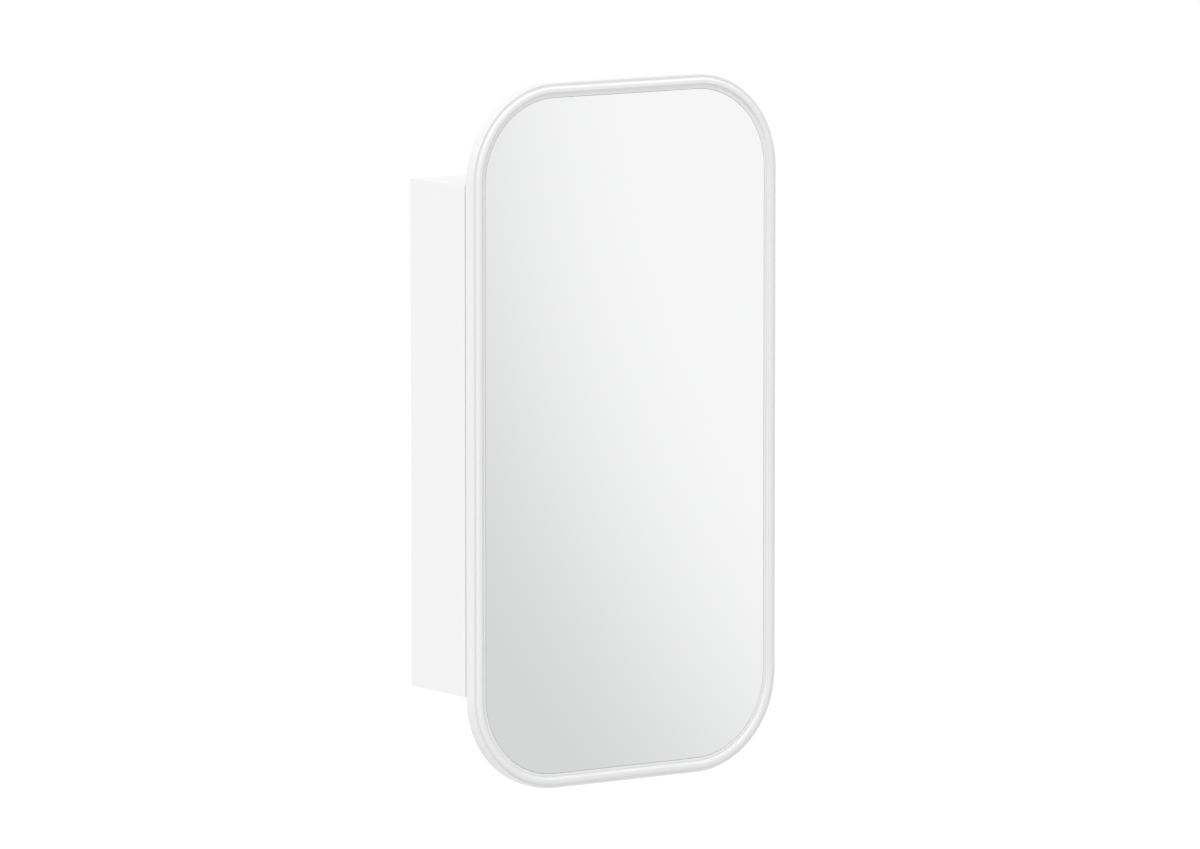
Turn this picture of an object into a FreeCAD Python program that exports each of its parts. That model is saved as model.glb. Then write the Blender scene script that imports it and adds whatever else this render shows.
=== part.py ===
import FreeCAD, Part
import Sketcher
import math
import os
from FreeCAD import Placement, Rotation, Vector

# Mirror cabinet: a shallow box on the wall behind a taller mirror door with large round corners
# X runs to the viewer's right, Y into the wall and Z up; the origin is the centre of the wall-side face

# Driving dimensions, in millimetres, and counts
DIMENSIONS = {
    # Carcass boards
    "cabinet_width": 470,
    "carcass_depth": 123,
    "board": 16,
    "back_board": 16,
    "edge_round": 0.6,
    # Door and the moulding round its front, measured inwards from the door's edge
    "door_height": 900,
    "door_overhang": 125,
    "corner_radius": 124,
    "door_thickness": 17,
    "bead_start": 4.6,
    "bead_width": 7.8,
    "bead_height": 3,
    "bead_outer_round": 2.7,
    "bead_inner_round": 1.45,
    "bead_cove": 1.45,
    "least_land": 0.05,
    "mirror_border": 18.4,
    "mirror_edge_gap": 0.35,
    "mirror_setback": 0.1,
    "mirror_thickness": 4,
    "mirror_arris": 0.3,
    "tape_thickness": 0.8,
    "tape_width": 19,
    "tape_pitch": 100,
    "tape_end_inset": 150,
    # Dowelled joints
    "dowel_diameter": 8,
    "dowel_length": 30,
    "dowel_skin": 4,
    "dowel_end_gap": 0.5,
    "dowel_inset": 24,
    "back_dowel_inset": 109,
    "fit_clearance": 0.05,
    # Holes for the wall screws
    "wall_hole_diameter": 6.5,
    "wall_hole_inset_x": 49,
    "wall_hole_inset_z": 69,
    # Shelves and their pins
    "shelf_thickness": 6,
    "shelf_back_gap": 2,
    "shelf_front_setback": 13,
    "shelf_end_clearance": 0.3,
    "shelf_arris": 0.6,
    "pin_diameter": 5,
    "pin_stem": 8,
    "pin_hole_spare": 1,
    "pin_flange": 1.2,
    "pin_flange_diameter": 9,
    "pin_tab_width": 7,
    "pin_tab_length": 8,
    "pin_tab_thickness": 2.5,
    "pin_tab_round": 2.5,
    "pin_front_inset": 37,
    "pin_rear_inset": 18,
    "pin_row_pitch": 32,
    # Continuous hinge
    "hinge_leaf": 0.9,
    "leaf_clearance": 0.2,
    "leaf_margin": 1,
    "hinge_end_margin": 10,
    "hinge_pin_diameter": 2.8,
    "hinge_pin_clearance": 0.05,
    "hinge_pin_head": 1,
    "knuckle_count": 21,
    "knuckle_side_gap": 0.3,
    "knuckle_end_gap": 0.3,
    "hinge_screw_count": 7,
    "hinge_screw_inset": 15,
    # Countersunk screws
    "screw_shank": 3,
    "screw_length": 13,
    "screw_tip": 3,
    "screw_hole_spare": 1,
    "cross_arm": 2.8,
    "cross_slot": 0.6,
    "cross_depth": 0.5,
    # Magnetic catches and their strike plates
    "catch_setback": 1,
    "catch_width": 14,
    "catch_depth": 18,
    "catch_height": 40,
    "catch_flange": 2.5,
    "catch_flange_height": 62,
    "catch_flange_depth": 12,
    "catch_screw_span": 51,
    "catch_round": 1.5,
    "catch_slot_width": 9,
    "catch_slot_height": 34,
    "catch_slot_depth": 14,
    "pole_thickness": 1.5,
    "magnet_setback": 2,
    "catch_contact_gap": 0.1,
    "strike_thickness": 1,
    "strike_width": 16,
    "strike_height": 44,
    "strike_corner": 3,
    "strike_screw_span": 26,
    "strike_screw_length": 10,
    # Door bumpers
    "bumper_diameter": 8,
    "bumper_inset": 25,
    "bumper_clearance": 0.2,
    "bumper_round": 1.2,
}

# Places and sizes that follow from the driving dimensions, as formulas on the sheet
# Three shelves make four equal bays, and a catch sits halfway up each end bay
INNER_HALF = "(dims.cabinet_width / 2 - dims.board)"
CARCASS_HEIGHT = "(dims.door_height - 2 * dims.door_overhang)"
INNER_HEIGHT = f"({CARCASS_HEIGHT} - 2 * dims.board)"
SHELF_PITCH = f"({INNER_HEIGHT} / 4)"
CATCH_LEVEL = f"(1.5 * {SHELF_PITCH})"
DOOR_GAP = "(2 * dims.hinge_leaf + dims.leaf_clearance)"
DOOR_BACK = f"(dims.carcass_depth + {DOOR_GAP})"
MIRROR_RECESS = "(dims.mirror_setback + dims.mirror_thickness + dims.tape_thickness)"
RECESS_FLOOR = f"(dims.door_thickness - {MIRROR_RECESS})"
SIDE_DOWEL_DEPTH = "(dims.board - dims.dowel_skin)"
END_DOWEL_DEPTH = f"(dims.dowel_length - {SIDE_DOWEL_DEPTH} + 2 * dims.dowel_end_gap)"
DOWEL_HOLE = "(dims.dowel_diameter + 2 * dims.fit_clearance)"
DOWEL_END = f"({INNER_HALF} + {SIDE_DOWEL_DEPTH} - dims.dowel_end_gap)"
CORNER_DOWEL_ROWS = ("dims.dowel_inset", "dims.carcass_depth / 2", "(dims.carcass_depth - dims.dowel_inset)")
CORNER_DOWEL_LEVEL = f"({CARCASS_HEIGHT} / 2 - dims.board / 2)"
BACK_DOWEL_LEVEL = f"({INNER_HEIGHT} / 2 - dims.back_dowel_inset)"
PIN_COLUMNS = ("(dims.back_board + dims.pin_rear_inset)", "(dims.carcass_depth - dims.pin_front_inset)")
PIN_DROP = "(dims.shelf_thickness / 2 + dims.pin_tab_thickness / 2)"
HINGE_LENGTH = f"({CARCASS_HEIGHT} - 2 * dims.hinge_end_margin)"
KNUCKLE_PITCH = f"({HINGE_LENGTH} / dims.knuckle_count)"
HINGE_BORE = "(dims.hinge_pin_diameter / 2 + dims.hinge_pin_clearance)"
KNUCKLE_RADIUS = f"({HINGE_BORE} + dims.hinge_leaf)"
TAB_END = f"({HINGE_BORE} + dims.hinge_leaf / 4)"
LEAF_EDGE = f"({KNUCKLE_RADIUS} + dims.knuckle_side_gap)"
HINGE_X = f"(dims.cabinet_width / 2 + {LEAF_EDGE})"
HINGE_Y = f"(-dims.carcass_depth - {DOOR_GAP} / 2)"
HINGE_SCREW_X = "(dims.cabinet_width / 2 - dims.board / 2)"
HINGE_SCREW_SPAN = f"({HINGE_LENGTH} - 2 * dims.hinge_screw_inset)"
HINGE_SCREW_DEPTH = "(dims.screw_length - dims.hinge_leaf + dims.screw_hole_spare)"
SCREW_HOLE = "(dims.screw_shank + 2 * dims.fit_clearance)"
CATCH_FLANGE_MID = "(dims.catch_setback + dims.catch_depth / 2)"
SLOT_MID = "(dims.catch_flange + dims.catch_slot_width / 2)"
SLOT_FLOOR = "(dims.catch_setback + dims.catch_slot_depth)"
POLE_REACH = f"({DOOR_GAP} - dims.strike_thickness - dims.catch_contact_gap)"
STRIKE_X = f"(-{INNER_HALF} + {SLOT_MID})"
TAPE_STEPS = (-1.5, -0.5, 0.5, 1.5)
SAME_PLACE = 1e-4
LEVELS = {"upper": 1, "lower": -1}
SHELVES = {"upper": 1, "middle": 0, "lower": -1}

doc = FreeCAD.newDocument("mirror_cabinet")
sheet = doc.addObject("Spreadsheet::Sheet", "dims")
for row, (alias, size) in enumerate(DIMENSIONS.items(), start=1):
    sheet.set(f"A{row}", str(size))
    sheet.setAlias(f"A{row}", alias)
doc.recompute()

nodes = {}


def value(formula):
    """The number that a formula on the sheet gives."""
    return float(sheet.evalExpression(formula))


def place(thing, x="0", y="0", z="0"):
    """Bind an object's place to the sheet."""
    for axis, formula in zip("xyz", (x, y, z)):
        thing.setExpression(f"Placement.Base.{axis}", formula)


def make_body(label, x="0", y="0", z="0"):
    """An empty body at its place in the cabinet."""
    body = doc.addObject("PartDesign::Body", label)
    body.Label = label
    place(body, x, y, z)
    return body


def keep(thing, label, solids=1):
    """Note a finished piece and how many solids it has."""
    thing.Label = label
    nodes[label] = (thing, solids)


def make_sketch(body, name, role, offset="0"):
    """A sketch on one of the body's own planes, moved along that plane's normal."""
    sketch = body.newObject("Sketcher::SketchObject", name)
    plane = next(feature for feature in body.Origin.OriginFeatures if feature.Role == role)
    sketch.AttachmentSupport = [(plane, "")]
    sketch.MapMode = "FlatFace"
    sketch.setExpression("AttachmentOffset.Base.z", offset)
    return sketch


def bind_constraint(sketch, formula, kind, *references):
    """Add a dimension to a sketch and bind it to a formula."""
    index = sketch.addConstraint(Sketcher.Constraint(kind, *references, value(formula)))
    sketch.setExpression(f"Constraints[{index}]", formula)


def locate(sketch, geometry, point, x, y):
    """Hold a point of a sketch at a place worked out from the sheet."""
    bind_constraint(sketch, x, "DistanceX", -1, 1, geometry, point)
    bind_constraint(sketch, y, "DistanceY", -1, 1, geometry, point)


def polygon(sketch, corners):
    """A closed outline of straight lines through corners given as formulas."""
    points = [Vector(value(x), value(y), 0) for x, y in corners]
    count = len(points)
    first = sketch.GeometryCount
    for index in range(count):
        sketch.addGeometry(Part.LineSegment(points[index], points[(index + 1) % count]))
    for index in range(count):
        following = first + (index + 1) % count
        sketch.addConstraint(Sketcher.Constraint("Coincident", first + index, 2, following, 1))
    for index, (x, y) in enumerate(corners):
        locate(sketch, first + index, 1, x, y)


def rectangle(sketch, low_x, high_x, low_y, high_y):
    """An upright rectangle between four formulas."""
    polygon(sketch, [(low_x, low_y), (high_x, low_y), (high_x, high_y), (low_x, high_y)])


def circles(sketch, centres, diameter):
    """Equal circles round centres given as formulas."""
    for x, y in centres:
        circle = Part.Circle(Vector(value(x), value(y), 0), Vector(0, 0, 1), value(diameter) / 2)
        index = sketch.addGeometry(circle)
        locate(sketch, index, 3, x, y)
        bind_constraint(sketch, diameter, "Diameter", index)


def rounded_rectangle(sketch, width, height, radius):
    """A rectangle about the sketch's origin with equal round corners."""
    half_x = value(width) / 2
    half_y = value(height) / 2
    round_x = half_x - value(radius)
    round_y = half_y - value(radius)
    quarter = math.pi / 2
    first = sketch.GeometryCount
    sides = [
        (Vector(-round_x, -half_y, 0), Vector(round_x, -half_y, 0)),
        (Vector(half_x, -round_y, 0), Vector(half_x, round_y, 0)),
        (Vector(round_x, half_y, 0), Vector(-round_x, half_y, 0)),
        (Vector(-half_x, round_y, 0), Vector(-half_x, -round_y, 0)),
    ]
    centres = [(round_x, -round_y), (round_x, round_y), (-round_x, round_y), (-round_x, -round_y)]
    for start, end in sides:
        sketch.addGeometry(Part.LineSegment(start, end))
    for index, (x, y) in enumerate(centres):
        circle = Part.Circle(Vector(x, y, 0), Vector(0, 0, 1), value(radius))
        sketch.addGeometry(Part.ArcOfCircle(circle, (index - 1) * quarter, index * quarter))
    for index in range(4):
        line = first + index
        arc = first + 4 + index
        following = first + (index + 1) % 4
        sketch.addConstraint(Sketcher.Constraint("Tangent", line, 2, arc, 1))
        sketch.addConstraint(Sketcher.Constraint("Tangent", arc, 2, following, 1))
        sketch.addConstraint(Sketcher.Constraint("Vertical" if index % 2 else "Horizontal", line))
        if index:
            sketch.addConstraint(Sketcher.Constraint("Equal", first + 4, arc))
    bind_constraint(sketch, radius, "Radius", first + 4)
    locate(sketch, first + 5, 3, f"{width} / 2 - {radius}", f"{height} / 2 - {radius}")
    locate(sketch, first + 7, 3, f"{radius} - {width} / 2", f"{radius} - {height} / 2")


def pad(body, name, sketch, length, midplane=False, reverse=False):
    """Give a sketch a thickness, along its normal unless reversed."""
    feature = body.newObject("PartDesign::Pad", name)
    feature.Profile = sketch
    feature.Midplane = midplane
    feature.Reversed = reverse
    feature.setExpression("Length", length)
    doc.recompute()
    return feature


def check_cut(feature, before):
    """A cut has to take material away."""
    if feature.Shape.Volume >= before:
        raise RuntimeError(f"{feature.Label} cuts nothing")


def pocket(body, name, sketch, depth, reverse=False):
    """Cut a sketch into the body, against its normal unless reversed."""
    before = body.Shape.Volume
    feature = body.newObject("PartDesign::Pocket", name)
    feature.Profile = sketch
    feature.Reversed = reverse
    feature.setExpression("Length", depth)
    doc.recompute()
    check_cut(feature, before)
    return feature


def drill(body, name, role, offset, centres, diameter, depth, reverse=False):
    """Blind or through holes from a plane of the body."""
    sketch = make_sketch(body, f"{name}_sketch", role, offset)
    circles(sketch, centres, diameter)
    return pocket(body, name, sketch, depth, reverse)


def countersink(body, name, role, offset, centres, head_depth, reverse=False):
    """Through holes for the screws, with a seat for a head of a given depth."""
    sketch = make_sketch(body, f"{name}_sketch", role, offset)
    circles(sketch, centres, SCREW_HOLE)
    doc.recompute()
    before = body.Shape.Volume
    feature = body.newObject("PartDesign::Hole", name)
    feature.Profile = sketch
    feature.Reversed = reverse
    feature.DepthType = "ThroughAll"
    feature.HoleCutType = "Countersink"
    feature.HoleCutCountersinkAngle = 90
    feature.setExpression("Diameter", SCREW_HOLE)
    feature.setExpression("HoleCutDiameter", f"{SCREW_HOLE} + 2 * {head_depth}")
    doc.recompute()
    check_cut(feature, before)
    return feature


def round_edges(body, name, radius, wanted):
    """Round those edges of the body for which wanted gives true at the edge's middle."""
    base = body.Tip
    edges = []
    for index, edge in enumerate(base.Shape.Edges, start=1):
        middle = edge.valueAt((edge.FirstParameter + edge.LastParameter) / 2)
        if wanted(middle):
            edges.append(f"Edge{index}")
    feature = body.newObject("PartDesign::Fillet", name)
    feature.Base = (base, edges)
    feature.setExpression("Radius", radius)
    doc.recompute()
    return feature


def near(number, formula):
    """Whether a coordinate lies at the place that a formula gives."""
    return abs(number - value(formula)) < SAME_PLACE


def copies(label, master, places):
    """A group of equal pieces; each place is three formulas and a turn."""
    links = []
    for index, (x, y, z, turn) in enumerate(places):
        link = doc.addObject("App::Link", f"{label}_{index}")
        link.LinkedObject = master
        link.Placement = Placement(Vector(), turn)
        place(link, x, y, z)
        links.append(link)
    group = doc.addObject("Part::Compound", label)
    group.Links = links
    keep(group, label, len(links))


def times(sign, formula):
    """A formula with a sign of +1, 0 or -1 in front."""
    return f"{sign} * {formula}"


# Carcass sides: one board each, drilled on the inner face
def side_panel(label, side):
    body = make_body(label, times(side, "(dims.cabinet_width / 2 - dims.board / 2)"))
    outline = make_sketch(body, f"{label}_outline", "YZ_Plane")
    rectangle(outline, "-dims.carcass_depth", "0", f"-{CARCASS_HEIGHT} / 2", f"{CARCASS_HEIGHT} / 2")
    pad(body, f"{label}_board", outline, "dims.board", midplane=True)

    def is_outer_edge(point):
        return near(point.x, times(side, "dims.board / 2")) and not near(point.y, "0")

    round_edges(body, f"{label}_edges", "dims.edge_round", is_outer_edge)
    inner_face = times(-side, "dims.board / 2")
    inward = side > 0
    dowels = [("-dims.back_board / 2", times(level, BACK_DOWEL_LEVEL)) for level in (-1, 0, 1)]
    for row in CORNER_DOWEL_ROWS:
        dowels += [(f"-{row}", times(level, CORNER_DOWEL_LEVEL)) for level in (-1, 1)]
    name = f"{label}_dowel_holes"
    drill(body, name, "YZ_Plane", inner_face, dowels, DOWEL_HOLE, SIDE_DOWEL_DEPTH, inward)
    rows = [
        f"{shelf} * {SHELF_PITCH} - {PIN_DROP} + {step} * dims.pin_row_pitch"
        for shelf in SHELVES.values()
        for step in (-1, 0, 1)
    ]
    pins = [(f"-{column}", row) for column in PIN_COLUMNS for row in rows]
    pin_hole = "dims.pin_diameter + 2 * dims.fit_clearance"
    pin_depth = "dims.pin_stem + dims.pin_hole_spare"
    drill(body, f"{label}_pin_holes", "YZ_Plane", inner_face, pins, pin_hole, pin_depth, inward)
    return body


def catch_screw_levels():
    """Heights of the four screws that hold the two catches."""
    return [
        f"{level} * {CATCH_LEVEL} + {end} * dims.catch_screw_span / 2"
        for level in LEVELS.values()
        for end in (-1, 1)
    ]


def hinge_screw_levels():
    """Heights of the screws along each hinge leaf."""
    count = int(value("dims.hinge_screw_count"))
    step = f"{HINGE_SCREW_SPAN} / (dims.hinge_screw_count - 1)"
    return [f"{index} * {step} - {HINGE_SCREW_SPAN} / 2" for index in range(count)]


def make_sides():
    left = side_panel("left_side_panel", -1)
    catch_screws = [(f"-dims.carcass_depth + {CATCH_FLANGE_MID}", level) for level in catch_screw_levels()]
    catch_depth = "dims.screw_length - dims.catch_flange + dims.screw_hole_spare"
    drill(left, "catch_pilots", "YZ_Plane", "dims.board / 2", catch_screws, SCREW_HOLE, catch_depth)
    keep(left, "left_side_panel")
    right = side_panel("right_side_panel", 1)
    hinge_screws = [("0", level) for level in hinge_screw_levels()]
    front = "dims.carcass_depth"
    drill(right, "hinge_pilots", "XZ_Plane", front, hinge_screws, SCREW_HOLE, HINGE_SCREW_DEPTH)
    keep(right, "right_side_panel")


# Top and bottom boards fit between the sides
def level_panel(label, level):
    body = make_body(label, z=times(level, CORNER_DOWEL_LEVEL))
    outline = make_sketch(body, f"{label}_outline", "XY_Plane")
    rectangle(outline, f"-{INNER_HALF}", INNER_HALF, "-dims.carcass_depth", "0")
    pad(body, f"{label}_board", outline, "dims.board", midplane=True)

    def is_front_edge(point):
        outer = near(point.z, times(level, "dims.board / 2"))
        return outer and near(point.y, "-dims.carcass_depth")

    round_edges(body, f"{label}_edge", "dims.edge_round", is_front_edge)
    dowels = [(f"-{row}", "0") for row in CORNER_DOWEL_ROWS]
    for side, end in ((-1, "left"), (1, "right")):
        name = f"{label}_{end}_dowel_holes"
        face = times(side, INNER_HALF)
        drill(body, name, "YZ_Plane", face, dowels, DOWEL_HOLE, END_DOWEL_DEPTH, side < 0)
    keep(body, label)


# Back board, let in between the other four, with the holes for the wall screws
def make_back():
    body = make_body("back_panel")
    outline = make_sketch(body, "back_outline", "XZ_Plane")
    rectangle(outline, f"-{INNER_HALF}", INNER_HALF, f"-{INNER_HEIGHT} / 2", f"{INNER_HEIGHT} / 2")
    pad(body, "back_board_pad", outline, "dims.back_board")
    hole_x = f"({INNER_HALF} - dims.wall_hole_inset_x)"
    hole_z = f"({INNER_HEIGHT} / 2 - dims.wall_hole_inset_z)"
    corners = [(times(x, hole_x), times(z, hole_z)) for x in (-1, 1) for z in (-1, 1)]
    thickness = "dims.back_board"
    drill(body, "wall_holes", "XZ_Plane", thickness, corners, "dims.wall_hole_diameter", thickness)
    dowels = [("-dims.back_board / 2", times(level, BACK_DOWEL_LEVEL)) for level in (-1, 0, 1)]
    for side, end in ((-1, "left"), (1, "right")):
        name = f"back_{end}_dowel_holes"
        face = times(side, INNER_HALF)
        drill(body, name, "YZ_Plane", face, dowels, DOWEL_HOLE, END_DOWEL_DEPTH, side < 0)
    keep(body, "back_panel")


# Dowels lie along X, half hidden in the sides
def make_dowels():
    dowel = doc.addObject("Part::Cylinder", "dowel")
    dowel.setExpression("Radius", "dims.dowel_diameter / 2")
    dowel.setExpression("Height", "dims.dowel_length")
    along_x = Rotation(Vector(0, 1, 0), 90)
    left_end = f"-{DOWEL_END}"
    right_end = f"{DOWEL_END} - dims.dowel_length"
    places = []
    for start in (left_end, right_end):
        for level in (-1, 1):
            height = times(level, CORNER_DOWEL_LEVEL)
            places += [(start, f"-{row}", height, along_x) for row in CORNER_DOWEL_ROWS]
        for level in (-1, 0, 1):
            places.append((start, "-dims.back_board / 2", times(level, BACK_DOWEL_LEVEL), along_x))
    copies("carcass_dowels", dowel, places)


# Glass shelves share the inside height evenly
def make_shelf(label, level):
    body = make_body(label, z=times(level, SHELF_PITCH))
    outline = make_sketch(body, f"{label}_outline", "XY_Plane")
    half = f"({INNER_HALF} - dims.pin_flange - dims.shelf_end_clearance)"
    front = "dims.shelf_front_setback - dims.carcass_depth"
    back = "-dims.back_board - dims.shelf_back_gap"
    rectangle(outline, f"-{half}", half, front, back)
    pad(body, f"{label}_glass", outline, "dims.shelf_thickness", midplane=True)
    round_edges(body, f"{label}_arris", "dims.shelf_arris", lambda point: True)
    keep(body, label)


# A shelf pin: stem in the board, flange against it and a flat tab under the glass
def make_shelf_pins():
    body = make_body("shelf_pin")
    stem = make_sketch(body, "pin_stem_sketch", "YZ_Plane")
    circles(stem, [("0", "0")], "dims.pin_diameter")
    pad(body, "pin_stem_pad", stem, "dims.pin_stem", reverse=True)
    flange = make_sketch(body, "pin_flange_sketch", "YZ_Plane")
    circles(flange, [("0", "0")], "dims.pin_flange_diameter")
    pad(body, "pin_flange_pad", flange, "dims.pin_flange")
    tab = make_sketch(body, "pin_tab_sketch", "XY_Plane")
    reach = "dims.pin_flange + dims.pin_tab_length"
    rectangle(tab, "0", reach, "-dims.pin_tab_width / 2", "dims.pin_tab_width / 2")
    pad(body, "pin_tab_pad", tab, "dims.pin_tab_thickness", midplane=True)

    def is_tab_corner(point):
        return near(point.x, reach) and near(point.z, "0")

    round_edges(body, "pin_tab_corners", "dims.pin_tab_round", is_tab_corner)
    straight = Rotation()
    turned = Rotation(Vector(0, 0, 1), 180)
    for name, level in SHELVES.items():
        height = f"{level} * {SHELF_PITCH} - {PIN_DROP}"
        places = []
        for column in PIN_COLUMNS:
            places.append((f"-{INNER_HALF}", f"-{column}", height, straight))
            places.append((INNER_HALF, f"-{column}", height, turned))
        copies(f"{name}_shelf_pins", body, places)


# Door: one board with a stepped edge, a raised bead, a cove and a recess for the mirror
def door_inset(point):
    """Distance of a point inwards from the door's outline."""
    radius = value("dims.corner_radius")
    across = abs(point.x) - value("dims.cabinet_width") / 2 + radius
    along = abs(point.z) - value("dims.door_height") / 2 + radius
    corner = Vector(max(across, 0), max(along, 0), 0).Length
    return radius - corner - min(max(across, along), 0)


def inset_outline(sketch, inset):
    """The door's outline moved inwards by a formula."""
    width = f"(dims.cabinet_width - 2 * {inset})"
    height = f"(dims.door_height - 2 * {inset})"
    rounded_rectangle(sketch, width, height, f"(dims.corner_radius - {inset})")


def make_door():
    body = make_body("door_panel", y=f"-{DOOR_BACK}")
    outline = make_sketch(body, "door_outline", "XZ_Plane")
    inset_outline(outline, "0")
    pad(body, "door_board", outline, "dims.door_thickness")
    bead = make_sketch(body, "bead_outline", "XZ_Plane", "dims.door_thickness")
    inset_outline(bead, "dims.bead_start")
    inset_outline(bead, "(dims.bead_start + dims.bead_width)")
    pad(body, "bead_pad", bead, "dims.bead_height")
    recess = make_sketch(body, "recess_outline", "XZ_Plane", "dims.door_thickness")
    inset_outline(recess, "dims.mirror_border")
    pocket(body, "mirror_recess", recess, MIRROR_RECESS)

    def loop_at(inset, front):
        return lambda point: near(door_inset(point), inset) and near(-point.y, front)

    crest = "(dims.door_thickness + dims.bead_height)"
    step = "dims.door_thickness"
    bead_end = "dims.bead_start + dims.bead_width"
    outer_wall = "dims.bead_height - dims.least_land"
    inner_wall = f"({outer_wall}) / 2"
    outer_round = f"min(dims.bead_outer_round; {outer_wall})"
    round_edges(body, "outer_crest", outer_round, loop_at("dims.bead_start", crest))
    inner_round = f"min(dims.bead_inner_round; {inner_wall})"
    round_edges(body, "inner_crest", inner_round, loop_at(bead_end, crest))
    round_edges(body, "cove", f"min(dims.bead_cove; {inner_wall})", loop_at(bead_end, step))
    round_edges(body, "front_edge", "dims.edge_round", loop_at("0", step))
    round_edges(body, "rear_edge", "dims.edge_round", loop_at("0", "0"))
    hinge_screws = [(HINGE_SCREW_X, level) for level in hinge_screw_levels()]
    drill(body, "door_hinge_pilots", "XZ_Plane", "0", hinge_screws, SCREW_HOLE, HINGE_SCREW_DEPTH, True)
    strike_screws = [(STRIKE_X, level) for level in strike_screw_levels()]
    strike_depth = "dims.strike_screw_length - dims.strike_thickness + dims.screw_hole_spare"
    drill(body, "strike_pilots", "XZ_Plane", "0", strike_screws, SCREW_HOLE, strike_depth, True)
    keep(body, "door_panel")


# Mirror glass in the recess, on strips of foam tape
def make_mirror():
    back = f"({DOOR_BACK} + {RECESS_FLOOR} + dims.tape_thickness)"
    body = make_body("mirror_glass", y=f"-{back}")
    outline = make_sketch(body, "mirror_outline", "XZ_Plane")
    inset_outline(outline, "(dims.mirror_border + dims.mirror_edge_gap)")
    pad(body, "mirror_pad", outline, "dims.mirror_thickness")

    def is_front_edge(point):
        return near(-point.y, "dims.mirror_thickness")

    round_edges(body, "mirror_arris_round", "dims.mirror_arris", is_front_edge)
    keep(body, "mirror_glass")
    strip = doc.addObject("Part::Box", "tape_strip")
    strip.setExpression("Length", "dims.tape_width")
    strip.setExpression("Width", "dims.tape_thickness")
    strip.setExpression("Height", "dims.door_height - 2 * dims.tape_end_inset")
    places = []
    for step in TAPE_STEPS:
        x = f"{step} * dims.tape_pitch - dims.tape_width / 2"
        places.append((x, f"-{back}", "dims.tape_end_inset - dims.door_height / 2", Rotation()))
    copies("mirror_tape", strip, places)


# Continuous hinge: two leaves whose knuckles take turns along one pin
def make_leaf(label, side, first_knuckle):
    body = make_body(label, HINGE_X, HINGE_Y)
    seat = times(side, f"{DOOR_GAP} / 2")
    face = times(side, f"({DOOR_GAP} / 2 - dims.hinge_leaf)")
    low, high = (face, seat) if side > 0 else (seat, face)
    plate = make_sketch(body, f"{label}_plate_sketch", "XY_Plane")
    rectangle(plate, f"-{LEAF_EDGE} - dims.board + dims.leaf_margin", f"-{LEAF_EDGE}", low, high)
    pad(body, f"{label}_plate", plate, HINGE_LENGTH, midplane=True)
    start = f"{first_knuckle} * {KNUCKLE_PITCH} - {HINGE_LENGTH} / 2 + dims.knuckle_end_gap / 2"
    length = f"{KNUCKLE_PITCH} - dims.knuckle_end_gap"
    tab = make_sketch(body, f"{label}_tab_sketch", "XY_Plane", start)
    rectangle(tab, f"-{LEAF_EDGE} - dims.hinge_leaf", f"-{TAB_END}", low, high)
    tab_pad = pad(body, f"{label}_tab", tab, length)
    ring = make_sketch(body, f"{label}_ring_sketch", "XY_Plane", start)
    circles(ring, [("0", "0")], f"2 * {KNUCKLE_RADIUS}")
    circles(ring, [("0", "0")], f"2 * {HINGE_BORE}")
    ring_pad = pad(body, f"{label}_ring", ring, length)
    knuckles = body.newObject("PartDesign::LinearPattern", f"{label}_knuckles")
    knuckles.Originals = [tab_pad, ring_pad]
    knuckles.Direction = (tab, ["N_Axis"])
    count = f"floor((dims.knuckle_count + {1 - first_knuckle}) / 2)"
    knuckles.setExpression("Length", f"2 * {KNUCKLE_PITCH} * ({count} - 1)")
    knuckles.setExpression("Occurrences", count)
    body.Tip = knuckles
    doc.recompute()
    screw_x = f"{HINGE_SCREW_X} - {HINGE_X}"
    screws = [(screw_x, level) for level in hinge_screw_levels()]
    sketch_face = times(-side, f"({DOOR_GAP} / 2 - dims.hinge_leaf)")
    countersink(body, f"{label}_seats", "XZ_Plane", sketch_face, screws, "dims.hinge_leaf", side < 0)
    keep(body, label)


def make_hinge_pin():
    shaft = doc.addObject("Part::Cylinder", "hinge_pin_shaft")
    shaft.setExpression("Radius", "dims.hinge_pin_diameter / 2")
    shaft.setExpression("Height", f"{HINGE_LENGTH} + 2 * dims.hinge_pin_head")
    place(shaft, HINGE_X, HINGE_Y, f"-{HINGE_LENGTH} / 2 - dims.hinge_pin_head")
    pieces = [shaft]
    for name, level in LEVELS.items():
        head = doc.addObject("Part::Cylinder", f"hinge_pin_{name}_head")
        head.setExpression("Radius", KNUCKLE_RADIUS)
        head.setExpression("Height", "dims.hinge_pin_head")
        base = f"{HINGE_LENGTH} / 2" if level > 0 else f"-{HINGE_LENGTH} / 2 - dims.hinge_pin_head"
        place(head, HINGE_X, HINGE_Y, base)
        pieces.append(head)
    pin = doc.addObject("Part::MultiFuse", "hinge_pin")
    pin.Shapes = pieces
    keep(pin, "hinge_pin")


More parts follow.
